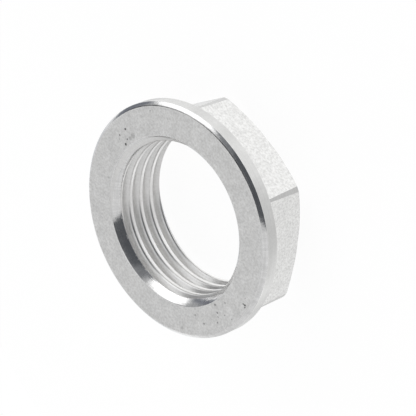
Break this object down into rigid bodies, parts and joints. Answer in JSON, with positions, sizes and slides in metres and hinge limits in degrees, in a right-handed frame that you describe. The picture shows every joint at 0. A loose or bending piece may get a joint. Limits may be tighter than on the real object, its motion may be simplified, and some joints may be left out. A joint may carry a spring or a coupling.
{
  "type": "axle lock nut",
  "caption": "Round flange with a flat bearing face, a wrench hexagon with turned corners behind it, and a fine inside thread that locks on an axle.",
  "frame": {"origin": "centre of the hexagon's end face, on which the nut lies", "axes": "+Z along the hole, from the hexagon's end face up to the flange's bearing face; two of the hexagon's flats face +Y and -Y"},
  "size_m": [0.0248, 0.0248, 0.0071],
  "materials": {
    "machined_aluminium": "fine matt machined, with bright chamfers"
  },
  "bodies": {
    "root": {"lock_nut": "machined_aluminium"}
  },
  "joints": []
}
